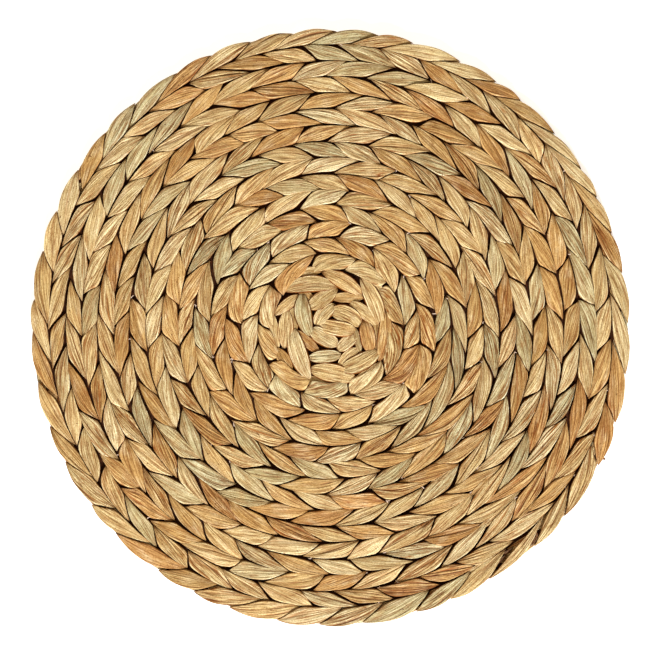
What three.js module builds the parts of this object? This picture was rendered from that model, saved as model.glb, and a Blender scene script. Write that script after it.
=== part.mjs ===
import * as THREE from 'three';

// Round placemat of water hyacinth, lying flat. Flattened stalks are twined in rounds over radial
// cords: every stalk that passes over a cord shows as one slanted leaf, and two columns of leaves
// that slant against each other make one chevron round. Millimetres, +Z up. The mat rests on z = 0,
// with the middle of its outline on the Z axis.

// Driving dimensions of the mat
const notchRadius = 188.4; // from the middle of the rounds to a notch between two rim leaves
const scallop = 1.6; // how far a rim leaf swells past its notches
const roundPitch = 20.35; // radial width of one chevron round, two leaves wide
const leavesPerRound = [42, 38, 34, 29, 25, 20, 15, 10, 6]; // in one column, from the rim inwards
const leafRun = 37; // how far one leaf travels along its round, from start to tip, in the outer rounds
const middleRun = 17; // the same in the very middle, where the leaves are shorter
const runGrowth = 0.2; // how much longer they get for each millimetre away from the middle
const longestRun = 1.4; // their greatest length in leaf pitches, for the innermost round
const rimLag = 0.4; // the rim leaves lag behind the column inside them, in leaf pitches
const firstCord = 0.35; // angle of the first radial cord, in radians

// Heights above the surface that the mat rests on
const crownHeight = 8.6; // middle of an average leaf
const crownSpread = 0.4; // how much higher or lower the leaves lie
const riseHeight = 7.3; // leaf just past its start, where it comes up beside the cord
const diveHeight = 7.7; // leaf just before its tip
const betweenHeight = 5.5; // valley between two leaves of a column
const seamHeight = 5.1; // groove between two columns
const holeHeight = 4.3; // small hole where leaves start or end
const bellyHeight = 3.2; // widest part of the rim
const bellySwell = 0.7; // how far the rim is wider there than at its top edge
const footInset = 2.2; // how far the rim's foot lies inside its top edge

// Places on a leaf, as shares of the way from its start to its tip, and its half width
const riseAt = 0.2;
const crownAt = 0.5;
const diveAt = 0.82;
const crownHalfWidth = 2.4;
const seamWidth = 1.2; // width of the groove's floor between two columns

// The middle of the mat, a stalk curled round a pinhole
const curlRadius = 3.6;
const curlHeight = 8.2;
const pinholeHeight = 5.4;

// Where the rounds are stepped outwards at their join, and where the rim alone swells or draws in
const degree = Math.PI / 180;
const join = { at: 330 * degree, reach: 3.4, spread: 24 * degree, fadeRadius: 60 };
const rimSwells = [
  { at: 80 * degree, reach: -1.6, spread: 50 * degree },
  { at: 255 * degree, reach: 1.4, spread: 55 * degree },
];
const cordWander = 0.06; // how unevenly the cords are spaced, in leaf pitches
const evenings = 40; // how often the spacing of the cords is evened out from round to round

const turn = 2 * Math.PI;
const golden = (Math.sqrt(5) - 1) / 2;
const roundCount = leavesPerRound.length;
const points = [];
const faces = [];

// A repeatable unevenness from -1 to 1 for leaf i of column or round j
function uneven(i, j) {
  const x = Math.sin(12.9898 * (i + 1) + 78.233 * (j + 1)) * 43758.5453;
  return 2 * (x - Math.floor(x)) - 1;
}

function wrapped(angle) {
  return angle - turn * Math.round(angle / turn);
}

// A smooth swell of a ring round one angle
function swell(angle, { at, reach, spread }) {
  return reach * Math.exp(-((wrapped(angle - at) / spread) ** 2));
}

// Radius of the ring that lies the given number of rounds inside the notches of the rim
function ringRadius(rounds, angle) {
  const plain = notchRadius - roundPitch * rounds;
  return plain + swell(angle, join) * Math.min(1, plain / join.fadeRadius);
}

function rimRadius(angle) {
  return rimSwells.reduce((radius, s) => radius + swell(angle, s), ringRadius(0, angle));
}

function addPoint(radius, angle, height) {
  points.push(radius * Math.cos(angle), radius * Math.sin(angle), height);
  return points.length / 3 - 1;
}

// A triangle of the upper side, turned so that it faces up
function addTop(a, b, c) {
  const [ax, ay, bx, by, cx, cy] = [a, b, c].flatMap((p) => [points[3 * p], points[3 * p + 1]]);
  const facesUp = (bx - ax) * (cy - ay) - (by - ay) * (cx - ax) > 0;
  faces.push(...(facesUp ? [a, b, c] : [a, c, b]));
}

// Joins two rings of any number of points, each a list of { angle, point } in rising order
function joinRings(inner, outer) {
  const start = inner[0].angle;
  const shift = outer.findIndex((o) => o.angle > start - Math.PI / outer.length);
  const at = (ring, k, from) => {
    const laps = Math.floor((k + from) / ring.length);
    const entry = ring[(k + from) % ring.length];
    return { angle: entry.angle + laps * turn, point: entry.point };
  };
  let i = 0;
  let o = 0;
  while (i < inner.length || o < outer.length) {
    const nextInner = at(inner, i + 1, 0);
    const nextOuter = at(outer, o + 1, shift);
    const stepInner = o >= outer.length || (i < inner.length && nextInner.angle < nextOuter.angle);
    const next = stepInner ? nextInner : nextOuter;
    addTop(at(inner, i, 0).point, at(outer, o, shift).point, next.point);
    if (stepInner) i += 1;
    else o += 1;
  }
}

// Angles of the radial cords in each round. Every round keeps the cords of the one inside it, and
// new cords go into gaps spread round the mat.
function cordAngles() {
  const rounds = [];
  const innermost = leavesPerRound[roundCount - 1];
  let cords = Array.from({ length: innermost }, (_, i) => firstCord + (i * turn) / innermost);
  for (let round = roundCount - 1; round >= 0; round -= 1) {
    const added = leavesPerRound[round] - cords.length;
    for (let k = 0; k < added; k += 1) {
      const wanted = firstCord + turn * ((k / added + round * golden) % 1);
      const before = cords.findLastIndex((angle) => angle <= wanted);
      const from = cords[before];
      const to = before + 1 < cords.length ? cords[before + 1] : cords[0] + turn;
      cords.splice(before + 1, 0, (from + to) / 2);
    }
    for (let pass = 0; pass < evenings; pass += 1) {
      cords = cords.map((angle, i) => {
        const before = i > 0 ? cords[i - 1] : cords[cords.length - 1] - turn;
        const after = i + 1 < cords.length ? cords[i + 1] : cords[0] + turn;
        return i === 0 ? angle : (2 * angle + before + after) / 4;
      });
    }
    rounds[round] = [...cords];
  }
  return rounds;
}

// One column of leaves between the ring where they start and the ring where they end. Gives back
// both rings, in rising order of angle.
function addColumn({ cords, column, startRounds, tipRounds, radiusOfStart, lag }) {
  const count = cords.length;
  const pitch = turn / count;
  const side = Math.sign(startRounds - tipRounds);
  const grooveFloor = (seamWidth / 2) * side;
  const tipRadius = (angle) => ringRadius(tipRounds, angle) - grooveFloor;
  const startRadius = (angle) => radiusOfStart(angle) + grooveFloor;
  const runAt = (radius) => Math.min(leafRun, middleRun + runGrowth * radius);
  const halfRunAt = (radius) => Math.min(runAt(radius) / radius, longestRun * pitch) / 2;
  const leaves = cords.map((cord, i) => {
    const crossing = cord + pitch * (cordWander * uneven(i, column) - lag);
    return { start: crossing - halfRunAt(startRadius(0)), tip: crossing + halfRunAt(tipRadius(0)) };
  });
  const leafAt = (i) => {
    const laps = Math.floor(i / count);
    const { start, tip } = leaves[i - laps * count];
    return { start: start + laps * turn, tip: tip + laps * turn };
  };
  const along = (leaf, share, sideways, height) => {
    const angle = leaf.start + (leaf.tip - leaf.start) * share;
    const radius = startRadius(angle) + (tipRadius(angle) - startRadius(angle)) * share;
    return addPoint(radius + sideways, angle, height);
  };

  const startRing = [];
  const tipRing = [];
  const valleys = [];
  for (let i = 0; i < count; i += 1) {
    const leaf = leafAt(i);
    const next = leafAt(i + 1);
    const beside = (leaf.start + next.start) / 2;
    startRing.push({ angle: leaf.start, point: addPoint(startRadius(leaf.start), leaf.start, holeHeight) });
    const swelling = startRounds === 0 ? scallop : 0;
    startRing.push({ angle: beside, point: addPoint(startRadius(beside) + swelling, beside, seamHeight) });
    const beforeTip = (leafAt(i - 1).tip + leaf.tip) / 2;
    tipRing.push({ angle: beforeTip, point: addPoint(tipRadius(beforeTip), beforeTip, seamHeight) });
    tipRing.push({ angle: leaf.tip, point: addPoint(tipRadius(leaf.tip), leaf.tip, holeHeight) });
    valleys.push(along({ start: leaf.start, tip: leafAt(i - 1).tip }, 0.5, 0, betweenHeight));
  }

  for (let i = 0; i < count; i += 1) {
    const leaf = leafAt(i);
    const crown = crownHeight + crownSpread * uneven(i, column + 0.5);
    const rise = along(leaf, riseAt, 0, riseHeight);
    const startShoulder = along(leaf, crownAt, -side * crownHalfWidth, crown);
    const tipShoulder = along(leaf, crownAt, side * crownHalfWidth, crown);
    const dive = along(leaf, diveAt, 0, diveHeight);
    const here = startRing[2 * i].point;
    const beside = startRing[2 * i + 1].point;
    const nextStart = startRing[(2 * i + 2) % (2 * count)].point;
    const beforeTip = tipRing[2 * i].point;
    const tip = tipRing[2 * i + 1].point;
    const lastTip = tipRing[(2 * i + 2 * count - 1) % (2 * count)].point;
    const valley = valleys[i];
    const nextValley = valleys[(i + 1) % count];
    addTop(here, beside, rise);
    addTop(here, rise, valley);
    addTop(beside, startShoulder, rise);
    addTop(beside, nextStart, startShoulder);
    addTop(rise, startShoulder, tipShoulder);
    addTop(rise, tipShoulder, valley);
    addTop(nextStart, nextValley, startShoulder);
    addTop(nextValley, dive, startShoulder);
    addTop(nextValley, tip, dive);
    addTop(startShoulder, dive, tipShoulder);
    addTop(tip, beforeTip, dive);
    addTop(beforeTip, tipShoulder, dive);
    addTop(beforeTip, lastTip, tipShoulder);
    addTop(lastTip, valley, tipShoulder);
  }
  return { startRing, tipRing };
}

// The chevron rounds, from the rim inwards, with the groove between every two columns
function addRounds() {
  let rim;
  let outerRing;
  cordAngles().forEach((cords, round) => {
    const outerColumn = addColumn({
      cords,
      column: 2 * round,
      startRounds: round,
      tipRounds: round + 0.5,
      radiusOfStart: round === 0 ? rimRadius : (angle) => ringRadius(round, angle),
      lag: round === 0 ? rimLag : 0,
    });
    const innerColumn = addColumn({
      cords,
      column: 2 * round + 1,
      startRounds: round + 1,
      tipRounds: round + 0.5,
      radiusOfStart: (angle) => ringRadius(round + 1, angle),
      lag: 0,
    });
    if (round === 0) rim = outerColumn.startRing;
    else joinRings(outerColumn.startRing, outerRing);
    joinRings(innerColumn.tipRing, outerColumn.tipRing);
    outerRing = innerColumn.startRing;
  });
  return { rim, innermost: outerRing };
}

// The curled stalk in the middle, with its pinhole
function addCurl(ring) {
  const curl = ring.map(({ angle }) => ({ angle, point: addPoint(curlRadius, angle, curlHeight) }));
  joinRings(curl, ring);
  const pinhole = addPoint(0, 0, pinholeHeight);
  curl.forEach(({ point }, i) => addTop(pinhole, point, curl[(i + 1) % curl.length].point));
}

// The rounded edge from the rim's top down to the flat underside, and the underside itself
function addEdgeAndUnderside(rim) {
  const lower = (growth, height) =>
    rim.map(({ angle, point }) => {
      const radius = Math.hypot(points[3 * point], points[3 * point + 1]);
      return { angle, point: addPoint(radius + growth, angle, height) };
    });
  const rings = [rim, lower(bellySwell, bellyHeight), lower(-footInset, 0)];
  for (let level = 0; level < 2; level += 1) {
    rings[level].forEach(({ point: upper }, i) => {
      const next = (i + 1) % rim.length;
      const upperNext = rings[level][next].point;
      const below = rings[level + 1][i].point;
      const belowNext = rings[level + 1][next].point;
      faces.push(below, belowNext, upper, upper, belowNext, upperNext);
    });
  }
  const underside = addPoint(0, 0, 0);
  const foot = rings[2];
  foot.forEach(({ point }, i) => faces.push(underside, foot[(i + 1) % foot.length].point, point));
}

const { rim, innermost } = addRounds();
addCurl(innermost);
addEdgeAndUnderside(rim);

const weave = new THREE.BufferGeometry();
weave.setAttribute('position', new THREE.Float32BufferAttribute(points, 3));
weave.setIndex(faces);
weave.computeBoundingBox();
const middle = weave.boundingBox.getCenter(new THREE.Vector3());
weave.translate(-middle.x, -middle.y, 0);
weave.computeVertexNormals();

const hyacinth = new THREE.MeshStandardMaterial({
  color: 0xc9a468,
  roughness: 0.62,
  metalness: 0,
  flatShading: true,
});
const mat = new THREE.Mesh(weave, hyacinth);
mat.name = 'woven_mat';

const group = new THREE.Group();
group.name = 'water_hyacinth_placemat';
group.add(mat);

export default group;
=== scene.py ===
import math

import bpy
import numpy as np
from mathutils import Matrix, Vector


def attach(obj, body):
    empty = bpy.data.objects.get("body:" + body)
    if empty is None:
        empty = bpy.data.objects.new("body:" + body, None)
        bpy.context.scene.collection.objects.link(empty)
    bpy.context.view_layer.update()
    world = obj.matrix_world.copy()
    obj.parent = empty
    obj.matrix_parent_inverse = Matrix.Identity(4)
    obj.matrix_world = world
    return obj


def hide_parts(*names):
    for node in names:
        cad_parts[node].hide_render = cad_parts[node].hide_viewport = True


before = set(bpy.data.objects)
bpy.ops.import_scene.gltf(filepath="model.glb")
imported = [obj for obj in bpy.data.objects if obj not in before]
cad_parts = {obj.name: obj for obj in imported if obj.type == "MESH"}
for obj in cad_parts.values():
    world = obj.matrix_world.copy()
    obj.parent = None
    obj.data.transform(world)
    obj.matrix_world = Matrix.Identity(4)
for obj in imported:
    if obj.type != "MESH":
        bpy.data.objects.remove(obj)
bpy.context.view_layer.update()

bpy.ops.object.select_all(action="DESELECT")

# The upper leaves: flattened water hyacinth stalks, dried to a golden tan with fine lengthwise ribs and
# creases. Each one passes over a radial cord as one slanted leaf and dives at both ends, and two columns
# that slant against each other make a chevron round. Each round is one piece, a joined mesh.
mm = 0.001
turn = 2 * math.pi
degree = math.pi / 180
golden = (math.sqrt(5) - 1) / 2
notch_radius = 188.4 * mm  # from the middle of the rounds to a notch between two rim leaves
scallop = 1.6 * mm  # how far a rim leaf bulges out past the notches
round_pitch = 20.35 * mm  # the width of a round, which is two leaves
leaves_per_round = [42, 38, 34, 29, 25, 20, 15, 10, 6]  # in one column, from the rim inwards
leaf_run = 37 * mm  # how far a leaf travels along its round
middle_run = 17 * mm  # the same in the very middle
run_growth = 0.2  # for each step away from the middle, up to leaf_run
longest_run = 1.4  # in leaf pitches
rim_lag = 0.4  # how far the rim leaves lie back along the rim, in leaf pitches
first_cord = 0.35  # the angle of one cord, from which the others are counted
cord_wander = 0.06  # how unevenly the leaves cross their cords, in leaf pitches
evenings = 40  # how often the gaps between the cords of a round are evened out
# The rings reach out further at the join, and the rim a little in and out elsewhere too
join = {"at": 330 * degree, "reach": 3.4 * mm, "spread": 24 * degree, "fade_radius": 60 * mm}
rim_swells = [
    {"at": 80 * degree, "reach": -1.6 * mm, "spread": 50 * degree},
    {"at": 255 * degree, "reach": 1.4 * mm, "spread": 55 * degree},
]


def uneven(i, j):
    """A repeatable unevenness from -1 to 1 for leaf i of column j, the same as in the solid."""
    x = math.sin(12.9898 * (i + 1) + 78.233 * (j + 1)) * 43758.5453
    return 2 * (x - math.floor(x)) - 1


def swell(angle, bump):
    """How far a gentle bump of the rings reaches out at this angle."""
    away = angle - bump["at"]
    away = away - turn * np.round(away / turn)
    return bump["reach"] * np.exp(-((away / bump["spread"]) ** 2))


def ring_radius(rounds, angle):
    """Radius of the ring that lies this many rounds inside the notches of the rim."""
    plain = notch_radius - round_pitch * rounds
    radius = plain + swell(angle, join) * min(1, plain / join["fade_radius"])
    return radius + sum(swell(angle, s) for s in rim_swells) if rounds == 0 else radius


def cord_angles():
    """Angles of the radial cords in each round: those of the round inside it, and new ones in the gaps."""
    innermost = len(leaves_per_round) - 1
    fewest = leaves_per_round[innermost]
    cords = [first_cord + i * turn / fewest for i in range(fewest)]
    rounds = {}
    for number in range(innermost, -1, -1):
        added = leaves_per_round[number] - len(cords)
        for k in range(added):
            wanted = first_cord + turn * ((k / added + number * golden) % 1)
            before = max(i for i, angle in enumerate(cords) if angle <= wanted)
            after = cords[before + 1] if before + 1 < len(cords) else cords[0] + turn
            cords.insert(before + 1, (cords[before] + after) / 2)
        for _ in range(evenings):
            ring = [cords[-1] - turn, *cords, cords[0] + turn]
            cords = [cords[0]] + [
                (2 * ring[i + 1] + ring[i] + ring[i + 2]) / 4 for i in range(1, len(cords))
            ]
        rounds[number] = list(cords)
    return [rounds[number] for number in range(innermost + 1)]


cords_of = cord_angles()
# The middle of the rounds lies a little off the middle of the outline, as in the solid
rim_angles = np.linspace(0, turn, 2881)
rim_reach = ring_radius(0, rim_angles)
outline_x = rim_reach * np.cos(rim_angles)
outline_y = rim_reach * np.sin(rim_angles)
off_x = -(outline_x.max() + outline_x.min()) / 2
off_y = -(outline_y.max() + outline_y.min()) / 2
rounds_middle = Vector((off_x, off_y, 0))

middle_height = 4.3 * mm  # between the upper and the lower layer of leaves
end_rise = 0.5 * mm  # how far a leaf's pointed ends lie off that middle
crown_rise = 4.3 * mm  # and the middle of the leaf
crown_spread = 0.4 * mm
edge_drop = 3.0 * mm  # how far a leaf's edges turn down
rim_edge_drop = 5.0 * mm  # and those on the mat's outer edge
roundness = 24  # the higher, the narrower the strip along a leaf's edge that turns down
back_shape = (4.2, 0.6)  # powers that give a leaf a level back and steep ends
underside_drop = 0.35 * mm  # how far a leaf's underside lies below its edges
split_share = 0.16  # of the leaves lie in two strands
split_depth = 0.9 * mm
creases_per_leaf = 6
rib_depth = (0.08, 0.46)  # in mm: on a fresh leaf, and what dryness adds to it
crease_depth = (0.12, 0.60)
blunt = 0.18  # how far the leaf's belly keeps inside the corners of its cell
fullness = 1.03  # of its belly, as a share of the cell's width
raggedness = 0.05  # of a leaf's sides, as a share of its width
skin_taper = 0.65  # how far the fibres draw together at a leaf's ends
jitter = 0.12  # of the leaves' ends round the mat, in leaf pitches
end_jitter = 0.9 * mm  # and towards or away from its middle
rim_tuck = 1.6 * mm  # how far the lower rim leaves stay inside the upper ones
rim_run_on = 0.14  # how much further a rim leaf's inner end runs, which draws its outer edge out
lower_crown_fall = 0.3 * mm  # the lower leaves are that much flatter
resting_spread = 0.12 * mm  # and each is pressed flat up to that far above the table
join_middle = 309 * degree  # where the last stalks were joined in, and the leaves are more drawn out
join_width = 15 * degree
join_stretch = 0.12  # how much further the ends run there
wide_edge_shade = 1.13  # the painted edge shade reaches further in on single leaves, which lie over one another
outer_edge_shade = 0.945  # and less far on the mat's outer edge, which lies in the light
overrun = 0.03  # how much further each end runs under its neighbours than in the solid
leaf_tones = (0, 0.94)  # from orange brown over gold to khaki; past that comes the brown of frayed ends
frayed_tones = (0.98, 1)
fray_angle = 311.3 * degree  # one rim leaf there is narrow and frayed, and leaves a dark hole
fray_width = 0.6  # as a share of its full width
dry_place = 312 * degree  # where the leaves are driest, with the deepest ribs
dry_spread = 24 * degree
dry_gain = 0.45
upper_rounds = 8  # the ninth is laid one by one, with the inner column of the eighth


def column_number(number, outer):
    """The number of a column, counted from the rim inwards: two in each round."""
    return 2 * number + (0 if outer else 1)


def column_rings(number, outer):
    """The rings on which the leaves of a column start and end, in rounds inside the rim."""
    return (number if outer else number + 1), number + 0.5


def column_angles(number, outer):
    """Start and tip angle of every leaf in one column of a round."""
    cords = np.array(cords_of[number])
    pitch = turn / len(cords)
    lag = rim_lag if number == 0 and outer else 0
    column = column_number(number, outer)
    wander = cord_wander * np.array([uneven(i, column) for i in range(len(cords))])
    crossing = cords + pitch * (wander - lag)
    half = []
    for rounds in column_rings(number, outer):
        radius = max(ring_radius(rounds, 0), 1 * mm)
        run = min(leaf_run, middle_run + run_growth * radius)
        half.append(min(run / radius, longest_run * pitch) / 2)
    return crossing - half[0], crossing + half[1]


def shape_leaves(x, y, ends, u, v, belly, crown, drop, upper, rng, tones=leaf_tones, rim=1, driest=1):
    """Closed leaf bodies over the given plan. Gives points, their look and place, and the faces.

    u runs along a leaf and v across it, and belly is its half width along u. A rim above 1 widens the
    painted shade along the leaf's edges, and driest is the most dryness that a leaf can draw.
    """
    count, along, across = x.shape

    def draw(low, high):
        return rng.uniform(low, high, count)[:, None, None]

    # Height off the middle of the mat: crown, turned down edges, tilt, fine ribs and creases
    u, belly = u[:, None], belly[:, None]
    lift = (1 - np.abs(2 * u - 1) ** back_shape[0]) ** back_shape[1]
    edge = np.abs(v) ** roundness
    height = end_rise + (crown - end_rise) * lift - drop * np.sqrt(belly / belly.max()) * edge
    tilt = draw(-0.6, 0.6) * v + draw(0, 0.2) * np.sin(turn * (u * 1.3 + draw(0, 1)))
    height = height + tilt * mm * lift
    heading = np.arctan2(ends[:, 0, 1], ends[:, 0, 0])[:, None, None] - dry_place
    near_join = np.exp(-(((heading - turn * np.round(heading / turn)) / dry_spread) ** 2))
    dryness = np.minimum(driest * draw(0, 1) ** 1.2 + dry_gain * near_join, 1)
    skin = v * (1 - skin_taper + skin_taper * belly / belly.max())
    bent = skin + draw(0.02, 0.14) * np.sin(turn * (u * draw(0.3, 0.9) + draw(0, 1)))
    valley = (1 - np.abs(np.sin(np.pi * (bent * draw(1.6, 3.4) + draw(0, 1)))) ** 0.8) ** 1.5
    valley = valley * (0.55 + 0.45 * np.sin(turn * (u * draw(0.4, 1.2) + bent * draw(0.5, 2) + draw(0, 1))))
    crease = np.zeros((count, along, across))
    for _ in range(creases_per_leaf):
        middle = draw(-0.85, 0.85) + draw(0.02, 0.09) * np.sin(turn * (u * draw(0.4, 1.1) + draw(0, 1)))
        reach = np.exp(-(((u - draw(0.1, 0.9)) / draw(0.18, 0.55)) ** 4))
        strength = draw(0.1, 1) * reach
        width = draw(0.05, 0.10)
        crease = np.maximum(crease, strength * np.exp(-(((skin - middle) / width) ** 2)))
    rough = valley * (rib_depth[0] + rib_depth[1] * dryness)
    rough = rough + crease * (crease_depth[0] + crease_depth[1] * dryness)
    height = height - rough * mm * lift * (1 - 0.6 * edge)
    split = (draw(0, 1) < split_share) * np.exp(-(((bent - draw(-0.35, 0.35)) / 0.07) ** 2))
    height = height - split * split_depth * lift
    # how deep each point lies in a crease, rib valley or split: the material darkens it by that as painted
    # shade
    crease = np.maximum(np.maximum(crease, split), valley * (0.35 + 0.65 * dryness))

    # Two points below close each section
    below = [int(across * 0.72), int(across * 0.28)]
    under = np.minimum(height[..., :1], height[..., -1:]) - underside_drop
    height = np.concatenate([height, np.repeat(under, 2, -1)], -1)
    if upper:
        z = middle_height + height
    else:
        z = np.maximum(middle_height - height, draw(0, 1) * resting_spread)
    closed_x = np.concatenate([x, x[..., below]], -1)
    closed_y = np.concatenate([y, y[..., below]], -1)
    rings = np.stack([closed_x, closed_y, z], -1)
    loop = across + 2
    tips = np.concatenate([ends, np.full((count, 2, 1), middle_height)], -1)
    points = np.concatenate([rings.reshape(count, along * loop, 3), tips], 1)

    # Point colours for the material: the leaf's tone, value, mark and dryness, then the place on it
    tone = rng.uniform(*tones, count)
    value = rng.uniform(0, 1, count)
    mark = rng.uniform(0, 1, count)
    look = np.stack([tone, value, mark, dryness[:, 0, 0]], -1)
    look = np.repeat(look[:, None, :], points.shape[1], 1)
    grid = np.zeros((count, along, loop, 4))
    grid[..., 0] = u
    # rim stretches the place across the leaf, and so moves the painted edge shade and highlight in or out
    sideways = np.clip(v * rim, -1, 1)
    grid[..., 1] = np.concatenate([sideways, sideways[below]]) * 0.5 + 0.5
    grid[..., :across, 2] = crease
    grid[..., 3] = belly / belly.max()
    tips = np.tile([[0, 0.5, 0, 0], [1, 0.5, 0, 0]], (count, 1, 1))
    place = np.concatenate([grid.reshape(count, along * loop, 4), tips], 1)

    # Faces from section to section, and a fan of triangles to the point at each end
    row = np.arange(along - 1)[:, None] * loop
    m = np.arange(loop)
    following = (m + 1) % loop
    quads = np.stack([row + m, row + loop + m, row + loop + following, row + following], -1).reshape(-1, 4)
    last = (along - 1) * loop
    first_fan = np.stack([np.full(loop, along * loop), m, following], -1)
    last_fan = np.stack([np.full(loop, along * loop + 1), last + following, last + m], -1)
    fans = np.concatenate([first_fan, last_fan])
    middle = rings[0, along // 2, across // 2]
    onwards = rings[0, along // 2 + 1, across // 2] - middle
    sidewards = rings[0, along // 2, across // 2 + 1] - middle
    if (np.cross(onwards, sidewards)[2] > 0) != upper:
        quads, fans = quads[:, ::-1], fans[:, ::-1]
    offset = (np.arange(count) * points.shape[1])[:, None, None]
    quads, fans = (quads + offset).reshape(-1, 4), (fans + offset).reshape(-1, 3)
    return points.reshape(-1, 3), look.reshape(-1, 4), place.reshape(-1, 4), quads, fans


def leaf_grid(along, across):
    """Places along a leaf, from 0 to 1, and across it, from -1 to 1, closer together at the edges."""
    share = (np.arange(along) + 0.5) / along
    t = np.linspace(-1, 1, across)
    return 0.6 * (0.5 - 0.5 * np.cos(np.pi * share)) + 0.4 * share, 0.4 * t + 0.6 * np.sin(t * np.pi / 2)


def leaf_column(number, outer, upper, along, across, rng):
    """The leaves of one column, each on a slanted cell between its start ring and its tip ring."""
    at_rim = number == 0 and outer
    start, tip = column_angles(number, outer)
    count = len(start)
    shifts = rng.uniform(-jitter, jitter, (2, count)) * turn / count
    start, tip = start + shifts[0], tip + shifts[1]
    near_join = np.exp(-(((start - join_middle) / join_width) ** 2))
    longer = (overrun + join_stretch * near_join) * (tip - start)
    start, tip = start - longer, tip + longer
    if at_rim and upper:
        tip = tip + rim_run_on * (1 - near_join) * (tip - start)
    corners = [start, np.append(start[1:], start[0] + turn), np.append(tip[-1] - turn, tip[:-1]), tip]
    corners = [angle[:, None, None] for angle in corners]
    start_rounds, tip_rounds = column_rings(number, outer)
    if not upper:  # the lower leaves slant the other way
        start_rounds, tip_rounds = tip_rounds, start_rounds

    u, v = leaf_grid(along, across)
    bend = np.abs(2 * u - 1)
    belly = 0.5 * (1 - np.sqrt((bend**2 + blunt**2) / (1 + blunt**2)))
    gain = fullness * rng.uniform(0.90, 1.05, (count, 1, 1))
    if at_rim and upper:
        gain[np.argmin(np.abs((start + tip) / 2 - fray_angle))] *= fray_width
    sway = rng.uniform(-0.10, 0.10, (count, 1, 1)) * np.sin(np.pi * u)[:, None]
    phase = rng.uniform(0, 1, (count, 1, 1)) + 0.3 * np.sign(v)
    waves = u[:, None] * rng.uniform(1.2, 2.6, (count, 1, 1)) + phase
    gain = gain * (1 + raggedness * np.sin(turn * waves))
    place = (v + sway) * belly[:, None] * gain
    a = np.clip(u[:, None] + place, -0.04, 1.04)
    b = np.clip(u[:, None] - place, -0.04, 1.04)
    angle = (1 - b) * ((1 - a) * corners[0] + a * corners[1]) + b * ((1 - a) * corners[2] + a * corners[3])
    start_radius = ring_radius(start_rounds, angle)
    radius = start_radius + (ring_radius(tip_rounds, angle) - start_radius) * b
    end_shift = rng.uniform(-1, 1, (2, count, 1, 1)) * end_jitter
    drop = np.full(len(v), edge_drop)
    # on the rim leaves' outer side the painted edge shade reaches less far in
    rim = np.where(v > 0, outer_edge_shade, 1) if at_rim and upper else 1
    if at_rim:
        rim_share = np.clip(1 - b if upper else b, 0, 1)
        bulge = scallop * np.sin(np.pi * np.clip(a, 0, 1)) - (0 if upper else rim_tuck)
        radius = radius + bulge * rim_share
        drop[v > 0 if upper else v < 0] = rim_edge_drop
    else:
        radius = radius + end_shift[0] * (1 - u[:, None]) ** 2 + end_shift[1] * u[:, None] ** 2
    ends = []
    for rounds, angles, shift in ((start_rounds, start, end_shift[0]), (tip_rounds, tip, end_shift[1])):
        reach = ring_radius(rounds, angles) + (0 if at_rim else shift[:, 0, 0])
        ends.append(np.stack([reach * np.cos(angles), reach * np.sin(angles)], -1))
    ends = np.stack(ends, 1) + np.array(rounds_middle[:2])
    x = radius * np.cos(angle) + rounds_middle.x
    y = radius * np.sin(angle) + rounds_middle.y
    column = column_number(number, outer)
    crown = crown_rise + crown_spread * np.array([uneven(i, column + 0.5) for i in range(count)])
    crown = crown[:, None, None] - (0 if upper else lower_crown_fall)
    return shape_leaves(x, y, ends, u, v, belly, crown, drop, upper, rng, rim=rim)


def single_leaf(path, width, crown, drop, rng, tones, taper, driest=1, along=20, across=30):
    """One leaf over a curved guide: path is its start, middle and end in mm from the mat's middle.

    A low taper gives pointed ends, a high one gives blunt ends.
    """
    u, v = leaf_grid(along, across)
    belly = 0.5 * (1 - np.abs(2 * u - 1) ** (taper * rng.uniform(0.9, 1.1))) ** rng.uniform(0.7, 0.85)
    start, halfway, end = (np.array(p) * mm for p in path)
    control = 2 * halfway - (start + end) / 2
    t = u[:, None]
    middle = (1 - t) ** 2 * start + 2 * t * (1 - t) * control + t**2 * end
    heading = 2 * (1 - t) * (control - start) + 2 * t * (end - control)
    heading = heading / np.linalg.norm(heading, axis=1, keepdims=True)
    side = np.stack([-heading[:, 1], heading[:, 0]], -1)
    flat = middle[:, None, :] + side[:, None, :] * (v[:, None] * belly[:, None, None] * width)
    ends = np.stack([start, end])[None]
    crown = np.full((1, 1, 1), crown)
    x, y = flat[None, ..., 0], flat[None, ..., 1]
    return shape_leaves(x, y, ends, u, v, belly, crown, drop, True, rng, tones, wide_edge_shade, driest)


def add_piece(name, parts):
    """Joins leaf bodies in one mesh, with their looks as point colours and their places as UVs."""
    offsets = np.cumsum([0] + [len(part[0]) for part in parts])
    points, look, place = (np.concatenate([part[k] for part in parts]) for k in range(3))
    quads = np.concatenate([part[3] + offset for part, offset in zip(parts, offsets)])
    fans = np.concatenate([part[4] + offset for part, offset in zip(parts, offsets)])
    mesh = bpy.data.meshes.new(name)
    mesh.vertices.add(len(points))
    mesh.vertices.foreach_set("co", points.astype(np.float32).ravel())
    corners = np.concatenate([quads.ravel(), fans.ravel()]).astype(np.int32)
    sizes = np.concatenate([np.full(len(quads), 4), np.full(len(fans), 3)])
    mesh.loops.add(len(corners))
    mesh.loops.foreach_set("vertex_index", corners)
    mesh.polygons.add(len(sizes))
    mesh.polygons.foreach_set("loop_start", np.concatenate([[0], np.cumsum(sizes)[:-1]]).astype(np.int32))
    mesh.polygons.foreach_set("use_smooth", np.ones(len(sizes), bool))
    mesh.update(calc_edges=True)
    for attribute, values in (("leaf_look", look), ("leaf_place", place)):
        layer = mesh.color_attributes.new(attribute, "FLOAT_COLOR", "POINT")
        layer.data.foreach_set("color", values.astype(np.float32).ravel())
    uv = mesh.uv_layers.new(name="fibre")
    uv.data.foreach_set("uv", place[corners][:, :2].astype(np.float32).ravel())
    piece = bpy.data.objects.new(name, mesh)
    bpy.context.collection.objects.link(piece)
    return piece


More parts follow.
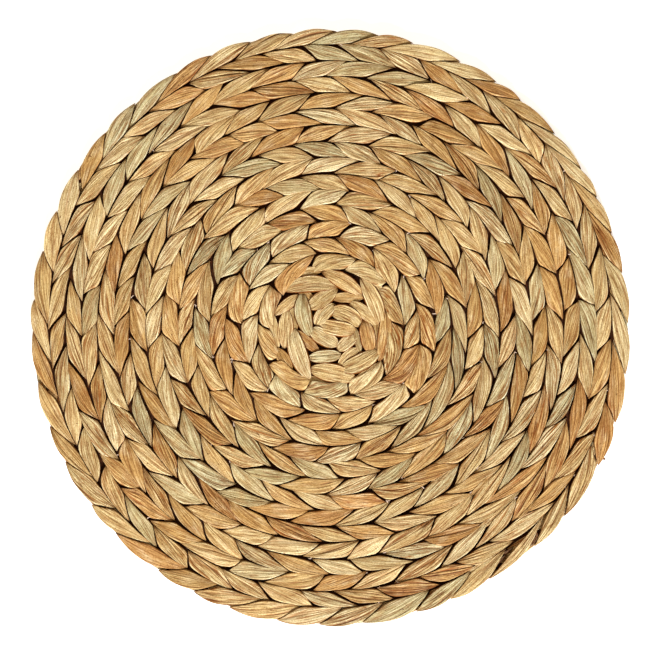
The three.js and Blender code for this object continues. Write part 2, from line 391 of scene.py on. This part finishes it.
def add_round(name, numbers, upper, along, across, seed):
    """One piece of the given rounds: the outer and the inner column of each, on one face of the mat."""
    rng = np.random.default_rng(seed)
    columns = [(number, outer) for number in numbers for outer in (True, False)]
    if upper:
        columns = [column for column in columns if column != (upper_rounds - 1, False)]
    return add_piece(name, [leaf_column(*column, upper, along, across, rng) for column in columns])


upper_leaves = [
    add_round(f"leaves_round_{number + 1}", [number], True, along=20, across=36, seed=11 + number)
    for number in range(upper_rounds)
]


class Wire:
    """A shader socket that takes part in sums, so that a material is written as expressions."""

    tree = None

    def __init__(self, socket):
        self.socket = socket

    @classmethod
    def node(cls, kind, settings=None, out=0, **inputs):
        """Adds a node: settings first, then each socket by its name, with spaces as underscores."""
        made = cls.tree.nodes.new(kind)
        for key, value in (settings or {}).items():
            setattr(made, key, value)
        for key, value in inputs.items():
            index = int(key[2:]) if key.startswith("at") and key[2:].isdigit() else key.replace("_", " ")
            cls.put(made.inputs[index], value)
        return cls(made.outputs[out])

    @classmethod
    def put(cls, socket, value):
        if isinstance(value, Wire):
            cls.tree.links.new(value.socket, socket)
        else:
            socket.default_value = value

    def also(self, name):
        """Another output of the same node."""
        return Wire(self.socket.node.outputs[name])

    def math(self, operation, a, b):
        return Wire.node("ShaderNodeMath", {"operation": operation}, at0=a, at1=b)

    def size(self):
        """The value without its sign."""
        return self.math("ABSOLUTE", self, 0.0)

    def __add__(self, other):
        return self.math("ADD", self, other)

    def __sub__(self, other):
        return self.math("SUBTRACT", self, other)

    def __mul__(self, other):
        return self.math("MULTIPLY", self, other)

    __radd__ = __add__
    __rmul__ = __mul__

    def ramp(self, low, high):
        """0 below low, 1 above high, smooth between them."""
        smooth = {"interpolation_type": "SMOOTHSTEP"}
        return Wire.node("ShaderNodeMapRange", smooth, Value=self, From_Min=low, From_Max=high)

    def colours(self, stops):
        """A colour ramp: stops is a list of (place, colour)."""
        made = Wire.tree.nodes.new("ShaderNodeValToRGB")
        ramp = made.color_ramp
        while len(ramp.elements) < len(stops):
            ramp.elements.new(0.5)
        for element, (place, colour) in zip(ramp.elements, stops):
            element.position, element.color = place, (*colour, 1)
        Wire.tree.links.new(self.socket, made.inputs["Fac"])
        return Wire(made.outputs["Color"])


def mix(kind, factor, a, b):
    """Two colours through a Mix node."""
    settings = {"data_type": "RGBA", "blend_type": kind, "clamp_result": False}
    a, b = ((*c, 1) if isinstance(c, tuple) else c for c in (a, b))
    return Wire.node("ShaderNodeMix", settings, out=2, at0=factor, at6=a, at7=b)


def hyacinth_material():
    """Dried stalk skin: a tone for each leaf, fibre streaks, spots, painted shade in creases, at edges and
    ends, and a painted edge highlight.
    """
    material = bpy.data.materials.new("water_hyacinth")
    material.use_nodes = True
    Wire.tree = material.node_tree
    shader = Wire.tree.nodes["Principled BSDF"]
    look = Wire.node("ShaderNodeAttribute", {"attribute_name": "leaf_look"})
    place = Wire.node("ShaderNodeAttribute", {"attribute_name": "leaf_place"})
    parts = Wire.node("ShaderNodeSeparateColor", Color=look)
    tone, value, mark = parts, parts.also("Green"), parts.also("Blue")
    dryness = look.also("Alpha")
    parts = Wire.node("ShaderNodeSeparateColor", Color=place)
    along, across, crease = parts, parts.also("Green"), parts.also("Blue")
    skin = (across - 0.5) * (place.also("Alpha") * skin_taper + (1 - skin_taper))

    def fibre(lengthwise, crosswise, detail, shift):
        """Noise drawn out along the leaf, different on every leaf."""
        at = Wire.node(
            "ShaderNodeCombineXYZ",
            X=along * lengthwise,
            Y=skin * crosswise,
            Z=mark * 61.0 + tone * 23.0 + shift,
        )
        return Wire.node("ShaderNodeTexNoise", Vector=at, Scale=1.0, Detail=detail, Roughness=0.6)

    fine = fibre(2.2, 18.0, 2.0, 0.0)
    lines = fibre(0.9, 6.5, 1.0, 5.1)
    hairs = fibre(1.6, 13.0, 1.0, 41.3)
    broad = fibre(1.4, 5.0, 2.0, 7.3)
    patch = fibre(3.5, 2.2, 2.0, 13.1)
    speck = fibre(24.0, 10.0, 1.0, 29.7)
    grain = fibre(52.0, 15.0, 1.0, 53.9)

    # The tones run from orange brown over gold to khaki, and end in the brown of the frayed ends
    base = tone.colours(
        [
            (0.00, (0.560, 0.305, 0.098)),
            (0.14, (0.670, 0.426, 0.152)),
            (0.40, (0.755, 0.562, 0.250)),
            (0.62, (0.810, 0.647, 0.320)),
            (0.80, (0.745, 0.620, 0.330)),
            (0.88, (0.665, 0.595, 0.320)),
            (0.95, (0.585, 0.550, 0.315)),
            (0.98, (0.230, 0.110, 0.048)),
        ]
    )
    base = mix("MULTIPLY", 1.0, base, value.colours([(0, (0.77, 0.75, 0.70)), (1, (1.02, 1.04, 1.09))]))
    base = mix("MULTIPLY", dryness, base, (1.05, 1.07, 1.13))
    pale = mix("MIX", patch.ramp(0.45, 0.75) * 0.45, base, (0.88, 0.74, 0.46))
    warm = mix("MIX", patch.ramp(0.55, 0.30) * 0.40, pale, (0.54, 0.30, 0.10))
    streaks = fine.colours(
        [(0.36, (0.38, 0.24, 0.10)), (0.50, (0.98, 0.97, 0.94)), (0.72, (1.09, 1.13, 1.22))]
    )
    streaked = mix("MULTIPLY", 0.75, warm, streaks)
    shades = broad.colours([(0.32, (0.62, 0.49, 0.32)), (0.55, (1, 1, 1))])
    streaked = mix("MULTIPLY", 0.6, streaked, shades)
    drawn = (lines - 0.5).size().ramp(0.060, 0.0) * (0.56 + 0.44 * dryness)
    drawn = drawn.math("MAXIMUM", drawn, (hairs - 0.5).size().ramp(0.048, 0.0) * (0.44 + 0.45 * dryness))
    lined = mix("MULTIPLY", drawn, streaked, (0.42, 0.19, 0.05))
    # painted shade in the creases, rib valleys and splits, as deep as they are
    crease_shade = mix("MULTIPLY", crease.ramp(0.25, 0.95) * (0.40 + 0.5 * dryness), lined, (0.38, 0.16, 0.035))
    edges = (across - 0.5).size() * 2.0
    # a painted highlight in a thin band just inside each leaf's edges
    edge_highlight = mix("MULTIPLY", edges.ramp(0.78, 0.88), crease_shade, (1.26, 1.31, 1.44))
    # painted shade along the very edges, where the leaves turn down between their neighbours
    edge_shade = mix("MULTIPLY", edges.ramp(0.92, 0.99), edge_highlight, (0.26, 0.105, 0.018))
    # painted shade at both ends of each leaf, where it dives under its neighbours
    ends = (along - 0.5) * (along - 0.5) * 4.0
    end_shade = mix("MULTIPLY", ends.ramp(0.55, 1.0) * 0.55, edge_shade, (0.54, 0.28, 0.085))
    grains = grain.colours(
        [(0.34, (0.70, 0.61, 0.45)), (0.50, (0.98, 0.97, 0.95)), (0.66, (1.14, 1.17, 1.22))]
    )
    grained = mix("MULTIPLY", 0.75, end_shade, grains)
    spots = mix("MULTIPLY", speck.ramp(0.69, 0.74) * 0.8, grained, (0.25, 0.12, 0.05))
    Wire.put(shader.inputs["Base Color"], spots)
    Wire.put(shader.inputs["Roughness"], 0.52 + fine * 0.20 - value * 0.06)
    shader.inputs["Specular IOR Level"].default_value = 0.15
    relief = fine * 0.8 + broad * 0.7 - drawn * 0.5
    bump = Wire.node("ShaderNodeBump", Strength=0.8, Distance=0.0007, Height=relief)
    Wire.put(shader.inputs["Normal"], bump)
    return material


hyacinth = hyacinth_material()
for piece in upper_leaves:
    piece.data.materials.append(hyacinth)
    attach(piece, "root")

# The middle, where the weave starts: three broad leaves curled round a pinhole, and round them short flat
# leaves pushed in by hand, which lie less evenly than in the rounds. They rest on the same middle height.
tuck = 1.5  # mm that each end runs on under its neighbours
plumpness = 1.07  # all these leaves are a little wider than listed, and leave few gaps
tone_spread = 0.03  # round the listed tone
middle_dryness = 0.5  # at most: their ribs are calmer than those of the rounds
thin_drop = 2.8 * mm  # these leaves turn down less at their edges, and lie on one another
curl_rng = np.random.default_rng(41)
curl_leaves = [  # start, middle and end, width and height over the mat's middle in mm, tone, taper
    [((-8.0, 2.1), (-4.6, 8.8), (2.1, 13.9)), 9.4, 4.1, 0.66, 2.8],
    [((0.4, 10.0), (10.5, 8.2), (18.1, 1.4)), 12.0, 4.2, 0.46, 3.0],
    [((-6.8, 2.6), (4.3, -0.2), (15.4, -1.3)), 10.0, 4.9, 0.36, 2.8],
    [((-11.7, -1.1), (-4.4, -5.8), (3.9, -10.1)), 10.4, 4.3, 0.72, 3.0],
    [((5.3, -13.6), (10.4, -9.0), (16.2, -4.3)), 8.6, 3.6, 0.66, 2.6],
    [((16.0, -0.8), (17.3, -8.2), (19.0, -15.4)), 4.2, 3.2, 0.6, 2.6],
    [((21.6, 4.0), (23.6, -5.2), (24.8, -14.6)), 9.8, 4.4, 0.08, 2.4],
    [((12.6, 15.2), (21.0, 10.4), (29.3, 1.4)), 8.4, 4.0, 0.5, 2.3],
    [((19.4, 31.0), (27.4, 17.3), (31.4, 2.8)), 10.8, 4.9, 0.58, 1.9],
    [((-4.6, 35.0), (8.2, 29.6), (19.6, 21.0)), 10.0, 4.8, 0.3, 1.9],
    [((1.4, 19.2), (10.7, 19.4), (20.6, 19.6)), 7.0, 3.3, 0.22, 2.4],
    [((-13.4, 13.4), (-5.6, 18.2), (3.4, 24.8)), 10.4, 4.0, 0.56, 2.4],
    [((-28.8, 23.4), (-13.2, 28.2), (3.0, 25.6)), 10.6, 4.9, 0.6, 2.2],
    [((-17.0, 21.4), (-17.4, 8.8), (-12.2, -4.6)), 11.0, 4.8, 0.89, 1.9],
    [((-34.4, 8.8), (-27.2, 15.2), (-20.0, 20.2)), 7.6, 3.4, 0.4, 1.9],
    [((-27.6, 11.6), (-28.6, -0.6), (-29.2, -11.8)), 10.4, 4.1, 0.64, 1.9],
    [((-23.4, 0.0), (-20.6, -16.2), (-13.0, -32.0)), 11.8, 4.9, 0.78, 1.9],
    [((-21.4, -1.8), (-14.2, -9.2), (-7.6, -14.8)), 7.0, 3.2, 0.04, 1.9],
    [((-13.0, -19.0), (-3.6, -17.9), (6.1, -17.4)), 8.4, 4.2, 0.86, 2.6],
    [((5.8, -23.4), (11.4, -17.4), (17.4, -13.8)), 6.8, 3.4, 0.48, 2.4],
    [((7.2, -25.2), (18.6, -22.0), (30.2, -14.4)), 11.2, 4.6, 0.62, 2.3],
    [((-12.6, -26.4), (1.6, -28.6), (15.2, -32.0)), 12.0, 4.0, 0.46, 2.3],
    [((34.2, 11.0), (34.6, -5.2), (30.6, -20.2)), 9.4, 4.0, 0.16, 1.9],
    [((-36.6, 9.0), (-35.4, -2.0), (-33.0, -12.0)), 6.4, 3.4, 0.5, 1.9],
    [((-24.4, 32.4), (-15.2, 35.4), (-6.2, 36.0)), 6.8, 3.4, 0.3, 1.9],
    [((19.6, 33.2), (27.2, 28.0), (33.6, 19.0)), 7.6, 3.5, 0.46, 1.9],
    [((-35.4, -13.4), (-29.4, -20.2), (-26.0, -28.6)), 8.6, 3.7, 0.14, 1.9],
    [((13.6, -34.6), (22.4, -30.4), (30.0, -22.2)), 8.0, 3.5, 0.58, 1.9],
    [((-20.0, 25.0), (-14.6, 19.6), (-8.4, 13.0)), 7.5, 2.5, 0.2, 1.9],
    [((-25.0, 15.0), (-23.8, 6.0), (-22.6, -4.0)), 6.5, 2.7, 0.4, 1.9],
    [((28.0, 8.0), (28.8, -3.0), (28.0, -15.0)), 6.5, 2.7, 0.3, 1.9],
    [((-22.0, -30.0), (-12.0, -33.4), (0.0, -35.6)), 6.5, 2.7, 0.4, 1.9],
]


def curl_leaf(path, width, crown, tone, taper):
    start, halfway, end = (np.array(place) for place in path)
    onwards = (end - start) / np.linalg.norm(end - start) * tuck
    path = [start - onwards, halfway, end + onwards]
    tones = (tone - tone_spread, tone + tone_spread)
    return single_leaf(
        path, width * plumpness * mm, crown * mm, thin_drop, curl_rng, tones, taper, middle_dryness
    )


curl = add_piece("leaves_curl", [curl_leaf(*row) for row in curl_leaves])
curl.data.materials.append(hyacinth)
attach(curl, "root")

# The join, towards the lower right, where the last stalks were worked in: short narrow leaves in the
# grooves, two frayed holes at the rim with brown ends in them, and one dark stub on the edge.
narrow_tones = (0.05, 0.55)
narrow_taper = 2.6
narrow_crown = 3.9 * mm  # over the middle height, as with the leaves of the middle
frayed_crown = 2.4 * mm
join_leaves = [  # rounds inside the rim, angle in degrees, length and width in mm
    (1.5, 310, 27, 4.6),
    (0.5, 303, 24, 4.2),
    (2.5, 314, 22, 4.4),
    (1.0, 317, 20, 3.8),
    (3.5, 307, 20, 4.0),
]
frayed_ends = [  # angle, mm out from the notch ring, heading, length and width in mm; the stub comes last
    (304.8, -6.6, 46, 11, 2.4),
    (305.9, -7.6, 36, 12, 2.0),
    (304.2, -5.2, 60, 7, 1.6),
    (306.9, -9.0, 48, 9, 1.8),
    (308.2, -9.4, 28, 10, 1.8),
    (313.4, -3.2, 64, 8, 2.2),
    (314.2, -4.6, 82, 7, 1.8),
    (312.7, -4.4, 44, 6, 1.6),
    (334.1, 0.4, -26, 4.4, 2.0),
]


def mat_place(radius, angle):
    """A place in mm from the mat's middle, given round the middle of its rounds."""
    place = np.array([radius * math.cos(angle), radius * math.sin(angle)])
    return place / mm + np.array(rounds_middle[:2]) / mm


def join_parts():
    rng = np.random.default_rng(42)
    parts = []
    for rounds, angle, length, width in join_leaves:
        radius = float(ring_radius(rounds, angle * degree))
        half = length * mm / 2 / radius
        path = [mat_place(radius, angle * degree + side * half) for side in (-1, 0, 1)]
        leaf = single_leaf(
            path, width * mm, narrow_crown, edge_drop, rng, narrow_tones, narrow_taper,
            along=16, across=20,
        )
        parts.append(leaf)
    for angle, out, heading, length, width in frayed_ends:
        middle = mat_place(float(ring_radius(0, angle * degree)) + out * mm, angle * degree)
        step = np.array([math.cos(heading * degree), math.sin(heading * degree)]) * length / 2
        bow = np.array([-step[1], step[0]]) * rng.uniform(-0.3, 0.3)
        path = [middle - step, middle + bow, middle + step]
        leaf = single_leaf(
            path, width * mm, frayed_crown, edge_drop, rng, frayed_tones, narrow_taper,
            along=12, across=10,
        )
        parts.append(leaf)
    return parts


join_piece = add_piece("leaves_join", join_parts())
join_piece.data.materials.append(hyacinth)
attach(join_piece, "root")

# The twine ends: specks of the pale twine inside the weave, which show in some of the dark holes where
# leaves start or end. Short bowed tubes, closest together near the join.
twine_radius = 0.32 * mm
twine_height = 6.3 * mm
twine_spread = 0.7  # in mm, of their middles round the ends of the leaves
twine_rise = 0.5 * mm  # how far each one arches up
twine_rounds = 7  # the outer ones
twine_ends = 96
twine_at_join = 20
leaves_at_join = 5  # in each column
twine_sides = 6
twine_steps = 7


def add_twine():
    rng = np.random.default_rng(43)
    points, quads, caps = [], [], []
    for k in range(twine_ends):
        number = int(rng.integers(0, twine_rounds))
        outer = bool(rng.integers(0, 2))
        starts, tips = column_angles(number, outer)
        if k < twine_at_join:
            near = np.argsort(np.abs(starts - join_middle))[:leaves_at_join]
            leaf = int(rng.choice(near))
        else:
            leaf = int(rng.integers(0, len(starts)))
        at_start = rng.random() < 0.5 and not (number == 0 and outer)
        angle = starts[leaf] if at_start else tips[leaf]
        rounds = column_rings(number, outer)[0 if at_start else 1]
        radius = ring_radius(rounds, angle)
        middle = Vector((radius * math.cos(angle), radius * math.sin(angle), twine_height)) + rounds_middle
        middle += Vector(rng.uniform(-1, 1, 3)) * twine_spread * mm
        heading = rng.uniform(0, turn)
        along = Vector((math.cos(heading), math.sin(heading), rng.uniform(-0.5, 0.5))).normalized()
        side = along.cross(Vector((0, 0, 1))).normalized()
        up = side.cross(along)
        length = rng.uniform(1.4, 3.2) * mm
        bow = rng.uniform(-0.9, 0.9) * mm
        first = len(points)
        for step in range(twine_steps):
            t = 2 * step / (twine_steps - 1) - 1
            arch = 1 - t * t
            centre = middle + along * (length / 2 * t) + side * (bow * arch) + up * (twine_rise * arch)
            for corner in range(twine_sides):
                a = turn * corner / twine_sides
                points.append(centre + (side * math.cos(a) + up * math.sin(a)) * twine_radius)
        for step in range(twine_steps - 1):
            here = first + step * twine_sides
            after = here + twine_sides
            for corner in range(twine_sides):
                beside = (corner + 1) % twine_sides
                quads.append((here + corner, here + beside, after + beside, after + corner))
        caps.append([first + corner for corner in reversed(range(twine_sides))])
        caps.append([first + (twine_steps - 1) * twine_sides + corner for corner in range(twine_sides)])
    mesh = bpy.data.meshes.new("twine_ends")
    mesh.from_pydata(points, [], quads + caps)
    piece = bpy.data.objects.new("twine_ends", mesh)
    bpy.context.collection.objects.link(piece)
    bpy.context.view_layer.objects.active = piece
    piece.select_set(True)
    bpy.ops.object.mode_set(mode="EDIT")
    bpy.ops.mesh.select_all(action="SELECT")
    bpy.ops.mesh.normals_make_consistent(inside=False)
    bpy.ops.object.mode_set(mode="OBJECT")
    bpy.ops.object.shade_smooth()
    piece.select_set(False)
    return piece


twine = add_twine()
twine_material = bpy.data.materials.new("pale_twine")
twine_material.use_nodes = True
twine_shader = twine_material.node_tree.nodes["Principled BSDF"]
twine_shader.inputs["Base Color"].default_value = (0.54, 0.40, 0.29, 1)
twine_shader.inputs["Roughness"].default_value = 0.75
twine.data.materials.append(twine_material)
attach(twine, "root")

# The lower leaves: the other face of the same weave. They slant the other way and lie flattened on the
# surface, with the rim's ones tucked under the upper rim leaves.
all_rounds = range(len(leaves_per_round))
lower_leaves = add_round("leaves_underside", all_rounds, False, along=12, across=10, seed=31)
lower_leaves.data.materials.append(hyacinth)
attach(lower_leaves, "root")

# The inner weave: the turns of the stalks between the two faces of the mat, in deep shade, and painted a
# near black brown as painted shade too. It shows only as the dark bottom of the holes and gaps. Low ridges
# follow the rounds from rim to middle.
inner_top = 4.3 * mm
inner_foot = 2.9 * mm
inner_inset = 2.6 * mm  # inside the notches of the rim
ridge_height = 0.3 * mm
ridges_in_round = 4
inner_sides = 96
inner_rings = int(notch_radius / round_pitch * ridges_in_round) - 1
bpy.ops.mesh.primitive_circle_add(
    vertices=inner_sides, radius=notch_radius, fill_type="NGON", location=(*rounds_middle[:2], inner_foot)
)
inner_weave = bpy.context.object
inner_weave.name = inner_weave.data.name = "inner_weave"
for point in inner_weave.data.vertices:
    point.co *= (ring_radius(0, math.atan2(point.co.y, point.co.x)) - inner_inset) / notch_radius
bpy.ops.object.mode_set(mode="EDIT")
bpy.ops.mesh.select_mode(type="FACE")
bpy.ops.mesh.select_all(action="SELECT")
bpy.ops.mesh.extrude_region_move(TRANSFORM_OT_translate={"value": (0, 0, inner_top - inner_foot)})
for ring in range(inner_rings):
    lift = ridge_height if ring % 2 == 0 else -ridge_height
    share = 1 - 1 / (inner_rings + 1 - ring)
    bpy.ops.mesh.extrude_region_move(TRANSFORM_OT_translate={"value": (0, 0, lift)})
    bpy.ops.transform.resize(value=(share, share, 1), center_override=(*rounds_middle[:2], inner_top))
bpy.ops.mesh.select_all(action="SELECT")
bpy.ops.mesh.normals_make_consistent(inside=False)
bpy.ops.object.mode_set(mode="OBJECT")
bpy.ops.object.transform_apply(location=True, rotation=True, scale=True)
bpy.ops.object.shade_smooth()


def inner_material():
    """Inner fibre in a near black brown, painted shade for the bottom of the holes, darker in places."""
    material = bpy.data.materials.new("inner_fibre")
    material.use_nodes = True
    Wire.tree = material.node_tree
    shader = Wire.tree.nodes["Principled BSDF"]
    at = Wire.node("ShaderNodeTexCoord").also("Object")
    noise = Wire.node("ShaderNodeTexNoise", Vector=at, Scale=420.0, Detail=3.0, Roughness=0.6)
    # near black browns: painted shade for the holes and gaps
    painted_shade_browns = noise.colours([(0.3, (0.010, 0.002, 0.001)), (0.7, (0.058, 0.016, 0.003))])
    Wire.put(shader.inputs["Base Color"], painted_shade_browns)
    Wire.put(shader.inputs["Roughness"], 0.75 + noise * 0.2)
    shader.inputs["Specular IOR Level"].default_value = 0.1
    bump = Wire.node("ShaderNodeBump", Strength=0.6, Distance=0.0008, Height=noise)
    Wire.put(shader.inputs["Normal"], bump)
    return material


inner_weave.data.materials.append(inner_material())
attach(inner_weave, "root")
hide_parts("woven_mat")

# The floor, the light and the camera: a wide white floor, one soft light from the bottom of the picture,
# a weak one from the top, and a camera straight above that frames the mat as the photograph does.
picture_pixels = 665
pixel = 380 * mm / 600  # on the mat, which is about 600 pixels wide
mat_pixel = Vector((330.5, 328.0))  # the middle of the mat's outline in the picture
camera_height = 1.6
crown_height = 8.6 * mm  # of the leaves that the frame is measured on
sensor = 36
floor_width = 30  # its edge stays out of the pictures from low angles too
camera_data = bpy.data.cameras.new("camera")
camera = bpy.data.objects.new("camera", camera_data)
bpy.context.collection.objects.link(camera)
frame_width = picture_pixels * pixel
camera_data.sensor_width = sensor
camera_data.lens = sensor * (camera_height - crown_height) / frame_width
camera.location = (
    (picture_pixels / 2 - mat_pixel.x) * pixel,
    -(picture_pixels / 2 - mat_pixel.y) * pixel,
    camera_height,
)
bpy.context.scene.camera = camera

bpy.ops.mesh.primitive_plane_add(size=floor_width, location=(0, 0, 0))
floor = bpy.context.object
floor.name = "floor"
floor_material = bpy.data.materials.new("white_floor")
floor_material.use_nodes = True
floor_shader = floor_material.node_tree.nodes["Principled BSDF"]
floor_shader.inputs["Base Color"].default_value = (0.92, 0.92, 0.92, 1)
floor_shader.inputs["Roughness"].default_value = 0.9
floor_shader.inputs["Emission Color"].default_value = (1, 1, 1, 1)
floor_shader.inputs["Emission Strength"].default_value = 0.62
floor.data.materials.append(floor_material)

lights = [
    {"name": "key", "from": (0.60, -3.00, 2.45), "size": 1.0, "power": 307, "colour": (0.891, 0.915, 1.0)},
    {"name": "fill", "from": (-0.7, 0.7, 1.3), "size": 1.2, "power": 9, "colour": (1.0, 0.97, 0.92)},
]
for row in lights:
    light_data = bpy.data.lights.new(row["name"], "AREA")
    light_data.size, light_data.energy, light_data.color = row["size"], row["power"], row["colour"]
    light = bpy.data.objects.new(row["name"], light_data)
    light.location = row["from"]
    light.rotation_euler = (-Vector(row["from"])).to_track_quat("-Z", "Y").to_euler()
    bpy.context.collection.objects.link(light)

world = bpy.data.worlds.new("studio")
bpy.context.scene.world = world
world.use_nodes = True
world.node_tree.nodes["Background"].inputs["Color"].default_value = (1, 0.80, 0.48, 1)
world.node_tree.nodes["Background"].inputs["Strength"].default_value = 0.30
bpy.context.scene.view_settings.view_transform = "Standard"
